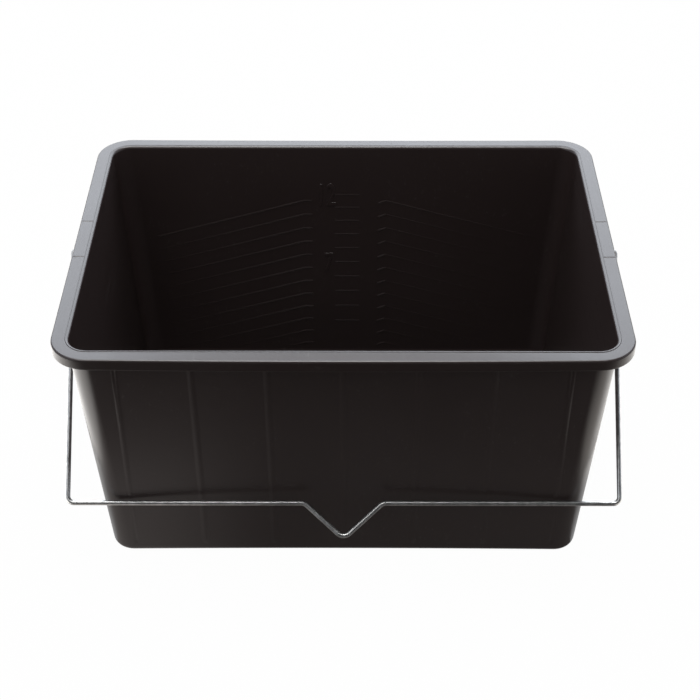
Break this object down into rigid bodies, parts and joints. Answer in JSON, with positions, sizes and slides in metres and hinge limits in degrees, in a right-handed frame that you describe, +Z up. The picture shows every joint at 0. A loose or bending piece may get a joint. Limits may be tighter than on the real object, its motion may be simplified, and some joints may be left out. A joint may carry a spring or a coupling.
{
  "type": "paint roller scuttle",
  "caption": "Deep rectangular paint tub with a flat turned-down rim, wipe-off ribs inside and a swinging wire bail with a V in its middle.",
  "frame": {"origin": "middle of the underside, on the surface the tub stands on", "axes": "+Z up; X along the tub's long side; -Y is the side where the bail hangs at rest, and the wipe-off ribs and volume scale are inside the +Y wall"},
  "size_m": [0.3842, 0.2792, 0.19],
  "materials": {
    "black_polypropylene": "semi-gloss injection moulding, black",
    "galvanised_wire": "zinc-coated drawn wire, dull grey with faint mottling"
  },
  "bodies": {
    "tub": {"tub": "black_polypropylene"},
    "handle": {"wire_handle": "galvanised_wire"}
  },
  "joints": [
    {"name": "handle_swing", "type": "hinge", "parent": "tub", "child": "handle", "pos_m": [0, 0, 0.18], "axis": [-1, 0, 0], "range_deg": [0, 271.6]}
  ]
}
